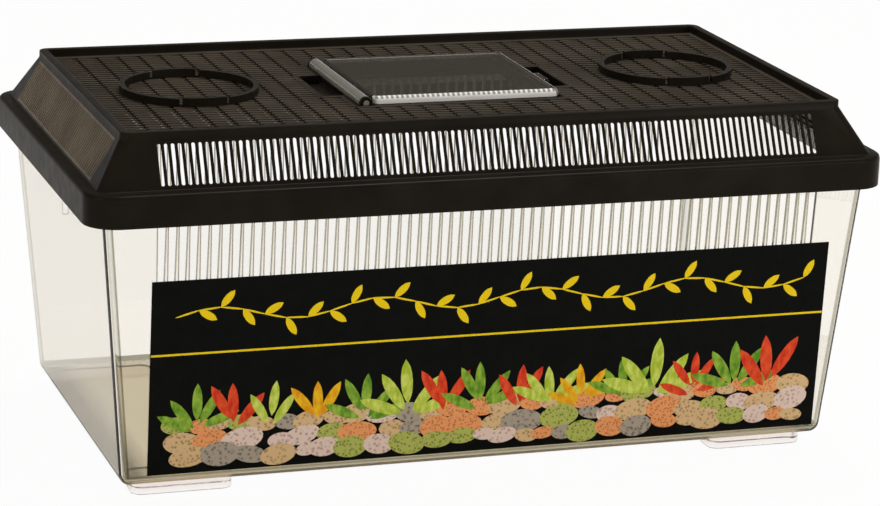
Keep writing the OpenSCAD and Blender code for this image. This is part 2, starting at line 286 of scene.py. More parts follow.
def placed(obj, matrix):
    """Moves a piece there and keeps the place in its mesh."""
    obj.matrix_world = matrix
    only(obj)
    bpy.ops.object.transform_apply(location=True, rotation=True, scale=True)
    return obj


def copied(obj):
    other = obj.copy()
    other.data = obj.data.copy()
    bpy.context.scene.collection.objects.link(other)
    return other


def joined(objs, name):
    deselect()
    for obj in objs:
        obj.select_set(True)
    bpy.context.view_layer.objects.active = objs[0]
    if len(objs) > 1:
        bpy.ops.object.join()
    objs[0].name = objs[0].data.name = name
    return objs[0]


def block(name, low, high):
    """A starting block between two corners."""
    deselect()
    bpy.ops.mesh.primitive_cube_add(size=1)
    obj = bpy.context.object
    obj.name = obj.data.name = name
    size = Vector(high) - Vector(low)
    middle = (Vector(high) + Vector(low)) / 2
    return placed(obj, Matrix.Translation(middle) @ Matrix.Diagonal((*size, 1)))


def lofted(name, loops, segments=6, ring=False):
    """Draws a body up through rounded rectangles: length, width, corner radius, height and the
    middle's x. The last outline gets a face. The first one stays open, and so does a ring's
    seam, because the extrusion renumbers the vertices that the first outline is picked by."""
    loops = [(*loop, 0)[:5] for loop in loops]
    l, w, r, z, x = loops[0]
    deselect()
    bpy.ops.mesh.primitive_plane_add(size=1)
    obj = bpy.context.object
    obj.name = obj.data.name = name
    placed(obj, Matrix.Translation((x, 0, z)) @ Matrix.Diagonal((l, w, 1, 1)))
    edit(obj)
    pick_all()
    bpy.ops.mesh.bevel(offset=r, segments=segments, affect="VERTICES", offset_type="OFFSET")
    bpy.ops.mesh.select_mode(type="FACE")
    pick_all()
    bpy.ops.mesh.delete(type="ONLY_FACE")
    bpy.ops.mesh.select_mode(type="VERT")
    pick_all()
    first = chosen(obj)
    for l1, w1, r1, z1, x1 in loops[1:]:
        extrude(z1 - z)
        now = {v.index: v.co.copy() for v in bmesh.from_edit_mesh(obj.data).verts if v.select}
        for sx in (-1, 1):
            for sy in (-1, 1):
                corner = {i for i, co in now.items() if (co.x - x) * sx > 0 and co.y * sy > 0}
                old = Vector((x + sx * (l / 2 - r), sy * (w / 2 - r), z1))
                new = Vector((x1 + sx * (l1 / 2 - r1), sy * (w1 / 2 - r1), z1))
                pick_these(obj, corner)
                bpy.ops.transform.resize(value=(r1 / r, r1 / r, 1), center_override=old)
                bpy.ops.transform.translate(value=new - old)
        l, w, r, z, x = l1, w1, r1, z1, x1
        pick_these(obj, set(now))
    last = chosen(obj)
    if ring:
        pick_these(obj, first | last)
        mesh = bmesh.from_edit_mesh(obj.data)
        for edge in mesh.edges:
            edge.select_set(len(edge.link_faces) == 1)
        bmesh.update_edit_mesh(obj.data)
        bpy.ops.mesh.bridge_edge_loops()
    else:
        bpy.ops.mesh.edge_face_add()
        pick_these(obj, first)
        bpy.ops.mesh.edge_face_add()
    leave()
    return recalculated(obj)


def flattened(obj, indices, axis, value):
    """Moves vertices onto one plane."""
    scale = [1.0, 1.0, 1.0]
    centre = [0.0, 0.0, 0.0]
    scale[axis], centre[axis] = 0.0, value
    pick_these(obj, indices)
    bpy.ops.transform.resize(value=scale, center_override=centre)


def refined(node, name, width, segments=2, angle=35):
    """A new piece from a CAD node's shape, with its edges softened as moulded."""
    piece = bpy.data.objects.new(name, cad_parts[node].data.copy())
    piece.data.name = name
    piece.data.materials.clear()
    bpy.context.scene.collection.objects.link(piece)
    only(piece)
    bpy.ops.mesh.customdata_custom_splitnormals_clear()
    edit(piece)
    pick_all()
    bpy.ops.mesh.mark_sharp(clear=True)
    bpy.ops.mesh.remove_doubles(threshold=DOUBLES)
    bpy.ops.mesh.dissolve_limited(angle_limit=math.radians(1))
    leave()
    softened(piece, width, segments, angle)
    return smoothed(piece)


def dressed(piece, body, slot, *materials):
    """Gives a finished piece its materials and body; the slot argument is not used."""
    for material in materials:
        piece.data.materials.append(material)
    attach(piece, body)
    return piece


def new_material(name):
    material = bpy.data.materials.new(name)
    material.use_nodes = True
    tree = material.node_tree
    place = tree.nodes.new("ShaderNodeTexCoord").outputs["Object"]
    return material, tree, tree.nodes["Principled BSDF"], place


def noise(tree, place, scale, detail=2.0, stretch=None):
    """A noise pattern on object coordinates, scale in features per metre."""
    if stretch:
        mapping = tree.nodes.new("ShaderNodeMapping")
        mapping.inputs["Scale"].default_value = stretch
        tree.links.new(place, mapping.inputs["Vector"])
        place = mapping.outputs["Vector"]
    node = tree.nodes.new("ShaderNodeTexNoise")
    node.inputs["Scale"].default_value = scale
    node.inputs["Detail"].default_value = detail
    tree.links.new(place, node.inputs["Vector"])
    return node.outputs["Fac"]


def between(tree, value, low, high, start=0.3, end=0.7):
    """Spreads a pattern's middle range between two numbers."""
    node = tree.nodes.new("ShaderNodeMapRange")
    node.inputs["From Min"].default_value = start
    node.inputs["From Max"].default_value = end
    node.inputs["To Min"].default_value = low
    node.inputs["To Max"].default_value = high
    tree.links.new(value, node.inputs["Value"])
    return node.outputs["Result"]


def ramp(tree, value, stops):
    """Turns a pattern into colours."""
    node = tree.nodes.new("ShaderNodeValToRGB")
    node.color_ramp.elements[0].position, node.color_ramp.elements[1].position = 0, 1
    while len(node.color_ramp.elements) < len(stops):
        node.color_ramp.elements.new(0.5)
    for element, (position, tone) in zip(node.color_ramp.elements, stops):
        element.position = position
        element.color = (*tone, 1)
    tree.links.new(value, node.inputs["Fac"])
    return node.outputs["Color"]


def maths(tree, operation, *values):
    node = tree.nodes.new("ShaderNodeMath")
    node.operation = operation
    for socket, value in zip(node.inputs, values):
        if isinstance(value, (int, float)):
            socket.default_value = value
        else:
            tree.links.new(value, socket)
    return node.outputs[0]


def axes_of(tree, vector):
    node = tree.nodes.new("ShaderNodeSeparateXYZ")
    tree.links.new(vector, node.inputs[0])
    return node.outputs


def coloured(tree, shader, pattern, stops):
    tree.links.new(ramp(tree, pattern, stops), shader.inputs["Base Color"])


def glossed(tree, shader, pattern, low, high):
    """Spreads the roughness between two values."""
    tree.links.new(between(tree, pattern, low, high), shader.inputs["Roughness"])


def overlaid(tree, share, under, over, output):
    """Lays one shader over another by a share."""
    mix = tree.nodes.new("ShaderNodeMixShader")
    tree.links.new(share, mix.inputs[0])
    tree.links.new(under.outputs[0], mix.inputs[1])
    tree.links.new(over.outputs[0], mix.inputs[2])
    tree.links.new(mix.outputs[0], output.inputs["Surface"])


def blended(tree, share, first, second):
    """Mixes a pattern with one plain colour."""
    node = tree.nodes.new("ShaderNodeMix")
    node.data_type = "RGBA"
    tree.links.new(share, node.inputs[0])
    tree.links.new(first, node.inputs[6])
    node.inputs[7].default_value = (*second, 1)
    return node.outputs[2]


def bumped(tree, shader, value, strength, distance):
    node = tree.nodes.new("ShaderNodeBump")
    node.inputs["Strength"].default_value = strength
    node.inputs["Distance"].default_value = distance
    tree.links.new(value, node.inputs["Height"])
    tree.links.new(node.outputs["Normal"], shader.inputs["Normal"])


def shade(base, factor):
    return tuple(min(1.0, c * factor) for c in base)


def black_plastic(name, base, rough_low, rough_high):
    """Moulded black plastic: faint cloudy colour, fine grain and uneven gloss."""
    material, tree, shader, place = new_material(name)
    stops = [(0.3, shade(base, 0.8)), (0.7, shade(base, 1.25))]
    coloured(tree, shader, noise(tree, place, 38, 4), stops)
    glossed(tree, shader, noise(tree, place, 120, 3), rough_low, rough_high)
    bumped(tree, shader, noise(tree, place, 2600, 3), 0.12, 0.06 * MM)
    shader.inputs["IOR"].default_value = 1.5
    shader.inputs["Specular IOR Level"].default_value = 0.04
    return material


def clear_plastic(name, depth_tint, density, rough=0.0):
    """Clear moulded plastic: tinted where light runs far inside it, with faint flow marks and
    a little haze."""
    material, tree, shader, place = new_material(name)
    flow = noise(tree, place, 14, 2, stretch=(1, 1, 0.2))
    coloured(tree, shader, flow, [(0.3, (0.985, 0.985, 0.98)), (0.7, (1, 1, 1))])
    glossed(tree, shader, noise(tree, place, 60, 3), rough, rough + 0.015)
    shader.inputs["Transmission Weight"].default_value = 1
    shader.inputs["IOR"].default_value = 1.5
    depth = tree.nodes.new("ShaderNodeVolumeAbsorption")
    depth.inputs["Color"].default_value = (*depth_tint, 1)
    depth.inputs["Density"].default_value = density
    tree.links.new(depth.outputs[0], tree.nodes["Material Output"].inputs["Volume"])
    return material


def slots_foot(s):
    """Height of the lower end of the tank's slots."""
    return RIM - s.rim_height - MM - s.slot_height


def tank_plastic_painted_shade(tints, s, floor_top):
    """Clear plastic of the tank, with painted shade: darker tints on its floor, corners, bottom
    edge and slot edges.
    """
    material = clear_plastic("clear_tank", tints.tank, 36)
    tree = material.node_tree
    shader = tree.nodes["Principled BSDF"]
    coordinates = tree.nodes["Texture Coordinate"]
    surface = shader.inputs["Base Color"].links[0].from_socket
    x, _, z = axes_of(tree, coordinates.outputs["Object"])
    nx, ny, nz = axes_of(tree, coordinates.outputs["Normal"])
    aside, level = maths(tree, "ABSOLUTE", x), maths(tree, "ABSOLUTE", nz)

    def both(first, second):
        return maths(tree, "MULTIPLY", first, second)

    # Painted shade: the floor's flat faces take the darker floor tint, for the shade under the
    # tank seen through them.
    floor = both(
        between(tree, z, 1, 0, floor_top, floor_top + 0.4 * MM),
        between(tree, level, 0, 1, 0.9, 0.97),
    )
    surface = blended(tree, floor, surface, tints.floor)
    # Painted shade: the floor turns darker still close to the end walls.
    inner = s.length_top / 2 - s.lean_x - s.wall - s.base
    ends = between(tree, aside, 0, 1, inner - 18 * MM, inner - 4 * MM)
    surface = blended(tree, both(floor, ends), surface, tints.floor_rim_painted_shade)
    # Painted shade: a dark tint in thin bands along both edges of every slot, within the row of
    # slots.
    low = slots_foot(s)
    half = between(tree, z, s.slot_low / 2, s.slot_top / 2, low, low + s.slot_height)
    off = maths(tree, "PINGPONG", aside, s.slot_pitch / 2)
    beside = between(tree, maths(tree, "SUBTRACT", off, half), 1, 0, 0.25 * MM, 0.5 * MM)
    reach = (s.slots - 1) / 2 * s.slot_pitch + s.slot_top / 2 + 0.5 * MM
    row = both(
        between(tree, aside, 1, 0, reach, reach + 0.2 * MM),
        between(tree, z, 0, 1, low - 0.4 * MM, low),
    )
    surface = blended(tree, both(beside, row), surface, tints.slot_edge_painted_shade)
    # Painted shade: a dark tint on the upright corners and on the rounding between floor and
    # walls.
    corner = ramp(
        tree, maths(tree, "ABSOLUTE", both(nx, ny)),
        [(0.02, (0, 0, 0)), (0.1, (1, 1, 1)), (0.24, (0.9, 0.9, 0.9)), (0.36, (0.3, 0.3, 0.3))],
    )
    bottom = ramp(
        tree, level,
        [(0.12, (0, 0, 0)), (0.22, (1, 1, 1)), (0.85, (1, 1, 1)), (0.96, (0, 0, 0))],
    )
    surface = blended(tree, maths(tree, "MAXIMUM", corner, bottom), surface, tints.edge)
    tree.links.new(surface, shader.inputs["Base Color"])
    return material


def printed(name, stops, scale=900, rough=0.3, stretch=None, spots=False):
    """Glossy print on film, in clouds of colour or in round spots."""
    material, tree, shader, place = new_material(name)
    if spots:
        cells = tree.nodes.new("ShaderNodeTexVoronoi")
        cells.inputs["Scale"].default_value = scale
        tree.links.new(place, cells.inputs["Vector"])
        pattern = cells.outputs["Distance"]
    else:
        pattern = noise(tree, place, scale, 3, stretch)
    coloured(tree, shader, pattern, stops)
    glossed(tree, shader, noise(tree, place, 300), rough - 0.04, rough + 0.04)
    bumped(tree, shader, noise(tree, place, 90, 2), 0.08, 0.1 * MM)
    shader.inputs["Specular IOR Level"].default_value = 0.05
    return material


class TERRARIUM_OT_tank(bpy.types.Operator):
    """Clear tapered tank with a rim and slotted long walls"""

    bl_idname = "terrarium.tank"
    bl_label = "Tank"

    def execute(self, context):
        s, tints = context.scene.terrarium_tank, context.scene.terrarium_finishes
        rise = RIM - TANK_LOW
        under = RIM - s.rim_height

        def outline(z, inset):
            """The walls' outline at a height, that far inside their outer faces."""
            share = 2 * (RIM - z) / rise
            return (
                s.length_top - s.lean_x * share - 2 * inset,
                s.width_top - s.lean_y * share - 2 * inset,
                max(s.corner - inset, 0.5 * MM), z,
            )

        def rounding(inset, z, turns):
            """Levels of the curve between floor and wall."""
            reach = s.base - inset
            return [
                outline(z + reach * (1 - math.cos(a)), inset + reach * (1 - math.sin(a)))
                for a in (math.radians(18 * turn) for turn in turns)
            ]

        rim = (s.length_top + 2 * s.rim_out, s.width_top + 2 * s.rim_out, s.corner + 10 * MM)
        tank = lofted(
            "tank_body",
            rounding(0, TANK_LOW, range(6))
            + [outline(under, 0), (*rim, under), (*rim, RIM), outline(RIM, s.wall)]
            + rounding(s.wall, TANK_LOW + s.floor, range(5, -1, -1)),
            segments=7,
        )
        low = slots_foot(s)
        cutter = block(
            "slot_cutter", (-s.slot_top / 2, -s.width_top, low),
            (s.slot_top / 2, s.width_top, low + s.slot_height),
        )
        edit(cutter)
        pick(cutter, lambda v: v.co.z < low + MM)
        narrow = (s.slot_low / s.slot_top, 1, 1)
        bpy.ops.transform.resize(value=narrow, center_override=(0, 0, low))
        leave()
        repeated(cutter, s.slots, (s.slot_pitch, 0, 0))
        placed(cutter, Matrix.Translation((-(s.slots - 1) / 2 * s.slot_pitch, 0, 0)))
        carved(tank, cutter)
        smoothed(tank, 30)
        # The tank's clear plastic carries painted shade on its floor, corners, bottom edge and
        # slot edges.
        clear = tank_plastic_painted_shade(tints, s, TANK_LOW + s.floor + 0.6 * MM)
        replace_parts(dressed(tank, "tank", "clear_tank", clear), "tank_shell")
        return {"FINISHED"}


class TERRARIUM_OT_feet(bpy.types.Operator):
    """Four clear feet under the corners"""

    bl_idname = "terrarium.feet"
    bl_label = "Feet"

    def execute(self, context):
        clear = clear_plastic("clear_foot", context.scene.terrarium_finishes.foot, 30, 0.04)
        for node in ("front_left_foot", "front_right_foot", "rear_left_foot", "rear_right_foot"):
            low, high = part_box(node)
            l, w, h = high - low
            soft = 1.2 * MM
            foot = lofted(
                node.replace("_foot", "_stand"),
                [
                    (l - 2 * soft, w - 2 * soft, 4.8 * MM, 0),
                    (l - 0.6 * soft, w - 0.6 * soft, 5.6 * MM, 0.3 * soft),
                    (l, w, 6 * MM, soft),
                    (l, w, 6 * MM, h),
                ],
            )
            placed(foot, Matrix.Translation(((low.x + high.x) / 2, (low.y + high.y) / 2, low.z)))
            smoothed(foot, 50)
            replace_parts(dressed(foot, "tank", "clear_foot", clear), node)
        return {"FINISHED"}


class TERRARIUM_OT_lid(bpy.types.Operator):
    """Moulded lid: skirt, ledge, slopes and raised border"""

    bl_idname = "terrarium.lid"
    bl_label = "Lid"

    def execute(self, context):
        tank, s = context.scene.terrarium_tank, context.scene.terrarium_lid
        l, w = tank.length_top, tank.width_top
        ledge = RIM + s.wall
        low = ledge - s.skirt
        rise = PANEL - ledge
        thick = s.wall / math.sin(math.atan2(rise, s.end_run))
        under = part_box("top_ribs")[0].z
        out = 2 * s.overhang
        run = 2 * s.slope_run
        edge = 2 * s.border_width
        top = PANEL + s.border
        corner, inner_corner = 18 * MM, 15.8 * MM

        def level(grown, radius, z):
            return (l + grown, w + grown, radius, z)

        def slope(z, inset, radius):
            """The slopes' outline at a height, that far inside their outer faces."""
            share = 2 * (PANEL - z) / rise
            return (
                l - run + share * s.end_run - 2 * inset,
                w - run + share * s.slope_run - 2 * inset, radius, z,
            )

        def skirt(turn):
            """One level of the round upper edge of the skirt."""
            a, r = math.radians(turn), 2.4 * MM
            cut = 2 * r * (1 - math.cos(a))
            return level(out - cut, corner - cut / 2, ledge - r + r * math.sin(a))

        lid = lofted(
            "lid_body",
            [
                level(out, corner, low),
                *(skirt(turn) for turn in (0, 30, 60, 90)),
                slope(ledge, 0, 6 * MM),
                slope(PANEL, 0, 5.5 * MM),
                level(-run, 5.5 * MM, top),
                level(-run - edge, 1.5 * MM, top),
                level(-run - edge, 1.5 * MM, PANEL),
                (2 * PLATE.x, 2 * PLATE.y, 0.3 * MM, PANEL),
                (2 * PLATE.x, 2 * PLATE.y, 0.3 * MM, under),
                slope(under, thick, 3.1 * MM),
                slope(RIM, thick, 3.6 * MM),
                level(out - 2 * s.wall, inner_corner, RIM),
                level(out - 2 * s.wall, inner_corner, low),
            ],
            ring=True,
        )
        softened(lid, 0.6 * MM, 2, 34)
        for node in VENT_TURNS:
            size, place = vent_place(context, node)
            window = block("vent_window", (-size.x / 2, VENT_EDGE - MM, -6 * MM),
                           (size.x / 2, size.y - VENT_EDGE + MM, 6 * MM))
            carved(lid, placed(window, place))
        smoothed(lid, 40)
        lid_black = black_plastic("black_lid", context.scene.terrarium_finishes.lid, 0.30, 0.38)
        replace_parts(dressed(lid, "lid", "lid_plastic", lid_black), "lid_frame")
        return {"FINISHED"}


def vent_place(context, node):
    """A vent panel's length and its slope's whole length, and its place on the slope: x along
    the slope's foot, y up it, z outward."""
    tank, s = context.scene.terrarium_tank, context.scene.terrarium_lid
    turn = VENT_TURNS[node]
    ledge = RIM + s.wall
    low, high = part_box(node)
    if node in ("left_vent", "right_vent"):
        across, run, away = high.y - low.y, s.end_run, tank.length_top
    else:
        across, run, away = high.x - low.x, s.slope_run, tank.width_top
    away = away / 2 - s.slope_run + run
    rise = PANEL - ledge
    place = (
        Matrix.Rotation(math.radians(turn), 4, "Z")
        @ Matrix.Translation((0, -away, ledge))
        @ Matrix.Rotation(math.atan2(rise, run), 4, "X")
    )
    return Vector((across, math.hypot(rise, run))), place


class TERRARIUM_OT_vents(bpy.types.Operator):
    """Slotted vent panels in the four slopes"""

    bl_idname = "terrarium.vents"
    bl_label = "Vents"

    def execute(self, context):
        s = context.scene.terrarium_lid
        tint = context.scene.terrarium_finishes.grille
        dark = black_plastic("black_vents", shade(tint, 1.5), 0.30, 0.42)
        # Painted light: the end vents' bars are the same black plastic made far lighter, standing
        # in for the light that falls on them.
        pale = black_plastic("vents_painted_light", shade(tint, 17), 0.30, 0.42)
        for node in VENT_TURNS:
            bars = pale if node in ("left_vent", "right_vent") else dark
            size, place = vent_place(context, node)
            count = round((size.x - s.vent_slot - 2 * MM) / s.vent_pitch) + 1
            panel = self.slotted(node.replace("_vent", "_slots"), s, count, size)
            placed(panel, place)
            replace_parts(dressed(smoothed(panel, 40), "lid", "lid_plastic", bars), node)
        return {"FINISHED"}

    def slotted(self, name, s, count, size):
        """One slot with its share of the panel, repeated along x and closed at the rim."""
        r, soft = s.vent_slot / 2, 0.3 * MM
        low, high = VENT_EDGE + r, size.y - VENT_EDGE - r
        middle, half = size.y / 2, s.vent_pitch / 2
        deselect()
        bpy.ops.mesh.primitive_circle_add(
            vertices=12, radius=r, rotation=(0, 0, math.radians(15)), fill_type="NOTHING"
        )
        cell = bpy.context.object
        cell.name = cell.data.name = name
        placed(cell, cell.matrix_world.copy())
        edit(cell)
        pick_all()
        bpy.ops.transform.translate(value=(0, low, -s.vent_wall))
        pick(cell, lambda v: v.co.y > low)
        bpy.ops.transform.translate(value=(0, high - low, 0))
        pick_all()
        first = chosen(cell)

        def widen(indices):
            """Pulls an outline out to the share's rectangle."""
            mesh = bmesh.from_edit_mesh(cell.data)
            co = {v.index: v.co.copy() for v in mesh.verts if v.index in indices}
            flattened(cell, {i for i, c in co.items() if c.x > 0}, 0, half)
            flattened(cell, {i for i, c in co.items() if c.x < 0}, 0, -half)
            flattened(cell, {i for i, c in co.items() if c.y > middle}, 1,
                      size.y - VENT_EDGE + MM)
            flattened(cell, {i for i, c in co.items() if c.y < middle}, 1, VENT_EDGE - MM)

        extrude(s.vent_wall - soft)
        extrude(soft)
        lip = chosen(cell)
        grow = 1 + 0.25 * MM / r
        for upper, y in ((True, high), (False, low)):
            mesh = bmesh.from_edit_mesh(cell.data)
            ends = {v.index for v in mesh.verts if v.index in lip and (v.co.y > middle) == upper}
            pick_these(cell, ends)
            bpy.ops.transform.resize(value=(grow, grow, 1), center_override=(0, y, 0))
        pick_these(cell, lip)
        extrude(0)
        widen(chosen(cell))
        pick_these(cell, first)
        extrude(0)
        widen(chosen(cell))
        pick_all()
        bpy.ops.mesh.remove_doubles(threshold=DOUBLES)
        leave()
        repeated(cell, count, (s.vent_pitch, 0, 0), merge=True)
        placed(cell, Matrix.Translation((-(count - 1) / 2 * s.vent_pitch, 0, 0)))
        edge = size.x / 2
        edit(cell)
        for sign in (-1, 1):
            end = (count * half) * sign
            pick(cell, lambda v: abs(v.co.x - end) < 1e-5)
            bpy.ops.transform.translate(value=(sign * edge - end, 0, 0))
        pick(cell, lambda e: e.is_boundary, "EDGE")
        bpy.ops.mesh.bridge_edge_loops()
        leave()
        return recalculated(cell)


class TERRARIUM_OT_grille(bpy.types.Operator):
    """Top panel: notched bars along the lid over ribs across it"""

    bl_idname = "terrarium.grille"
    bl_label = "Top Panel"

    def execute(self, context):
        s = context.scene.terrarium_lid
        pitch, step, height = s.col_pitch, s.row_pitch, s.bar_height
        half = s.bar / 2
        low = PANEL - height
        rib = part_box("hatch_frame")[1]
        cols, wide = round(rib.x / pitch), CELLS_ASIDE
        cell = self.cell(s, low)
        pieces = []

        def rows(cells, start, first, count):
            """A group of like bars from a start along x, at row numbers from first."""
            bar = copied(cell)
            repeated(bar, cells, (pitch, 0, 0), merge=True)
            edit(bar)
            for end in (-pitch / 2, (cells - 0.5) * pitch):
                pick(bar, lambda v: abs(v.co.x - end) < 1e-6)
                bpy.ops.mesh.edge_face_add()
            leave()
            placed(bar, Matrix.Translation((start + pitch / 2, first * step, 0)))
            pieces.append(repeated(bar, count, (0, step, 0)))

        reach = wide * pitch
        for first in (-LAST_ROW, HATCH_ROW + 1):
            rows(2 * wide, -reach, first, LAST_ROW - HATCH_ROW)
        for first in (-HATCH_ROW, RECESS_ROW + 1):
            for start in (-reach, (cols - 1) * pitch):
                rows(wide - cols + 1, start, first, HATCH_ROW - RECESS_ROW)
        for start in (-reach, cols * pitch):
            rows(wide - cols, start, -RECESS_ROW, 2 * RECESS_ROW + 1)
        bpy.data.objects.remove(cell)

        def strip(x0, y0, x1, y1):
            """A plain bar at the border, drawn on all like sides."""
            for sx in (-1, 1):
                for sy in (-1, 1) if y0 > 0 else (1,):
                    if x0 < 0 and sx > 0:
                        continue
                    piece = block("strip", (x0, y0, low), (x1, y1, PANEL))
                    turned = Matrix.Diagonal((sx if x0 > 0 else 1, sy, 1, 1))
                    placed(piece, turned)
                    pieces.append(recalculated(softened(piece, 0.3 * MM)))

        outer, side = (LAST_ROW + 1) * step - half, reach - half + 0.3 * MM
        inner, hole = (cols - 1) * pitch, rib.y
        recess, recess_end = RECESS_ROW * step, cols * pitch
        strip(-PLATE.x, outer, PLATE.x, PLATE.y)
        strip(side, -outer, PLATE.x, outer)
        strip(-inner, hole, inner, hole + half)
        strip(inner, recess, inner + RIB_HALF, hole)
        strip(inner, recess, recess_end, recess + half)
        strip(recess_end, -recess, recess_end + RIB_HALF, recess)
        grille = smoothed(joined(pieces, "grille_bars"), 50)
        cross = self.crosspieces(s, low, outer, cols, hole, recess)
        tint = context.scene.terrarium_finishes.grille
        # Painted light and shade: one black plastic, made lighter on the bars for the light on
        # their tops and darker on the ribs for the shade they lie in.
        bars = black_plastic("black_bars_painted_light", shade(tint, 6.4), 0.34, 0.46)
        ribs = black_plastic("black_ribs_painted_shade", shade(tint, 0.3), 0.55, 0.70)
        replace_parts(dressed(grille, "lid", "lid_plastic", bars), "top_bars")
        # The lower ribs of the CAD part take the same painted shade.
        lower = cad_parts["top_ribs"]
        lower.data.materials.clear()
        lower.data.materials.append(ribs)
        dressed(cross, "lid", "lid_plastic", ribs)
        return {"FINISHED"}

    def crosspieces(self, s, low, reach, cols, hole, recess):
        """Upper part of the ribs across the lid, sunk between the bars."""
        foot, top = low - 0.1 * MM, low + 0.62 * s.bar_height
        pieces = []
        for line in range(1 - CELLS_ASIDE, CELLS_ASIDE):
            x = line * s.col_pitch
            away = hole if abs(line) < cols else recess if abs(line) == cols else 0
            for sign in (-1, 1) if away else (1,):
                y0, y1 = sorted((sign * away if away else -reach, sign * reach))
                pieces.append(block("rib", (x - RIB_HALF, y0, foot), (x + RIB_HALF, y1, top)))
        return smoothed(softened(joined(pieces, "grille_crosspieces"), 0.2 * MM, 1), 50)

    def cell(self, s, low):
        """One cell of a bar: rounded along its top, notched where it crosses a rib."""
        end, half = s.col_pitch / 2, s.bar / 2
        cell = block("bar_cell", (-end, -half, low), (end, half, PANEL))
        edit(cell)
        pick(cell, lambda e: all(v.co.z > low + MM / 2 for v in e.verts)
             and abs(e.verts[0].co.x - e.verts[1].co.x) > MM, "EDGE")
        bpy.ops.mesh.bevel(offset=0.3 * MM, segments=2, affect="EDGES")
        notch, notch_floor = MM, 0.95 * MM
        for x in (-end + notch, -end + notch_floor, end - notch_floor, end - notch):
            pick_all()
            bpy.ops.mesh.bisect(plane_co=(x, 0, 0), plane_no=(1, 0, 0))
        for sign in (-1, 1):
            pick(cell, lambda v: v.co.x * sign > end - (notch + notch_floor) / 2
                 and v.co.z > low + 0.3 * MM)
            bpy.ops.transform.resize(value=(1, 1, 0.55), center_override=(0, 0, low))
        pick(cell, lambda f: abs(f.normal.x) > 0.99, "FACE")
        bpy.ops.mesh.delete(type="FACE")
        leave()
        return cell


class TERRARIUM_OT_rings(bpy.types.Operator):
    """Two raised rings on the top panel"""

    bl_idname = "terrarium.rings"
    bl_label = "Rings"

    def execute(self, context):
        ring_black = black_plastic("black_rings", context.scene.terrarium_finishes.lid, 0.22, 0.32)
        for node in ("left_ring", "right_ring"):
            ring = refined(node, node.replace("_ring", "_round"), 0.45 * MM, 3, 50)
            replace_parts(dressed(ring, "lid", "lid_plastic", ring_black), node)
        return {"FINISHED"}


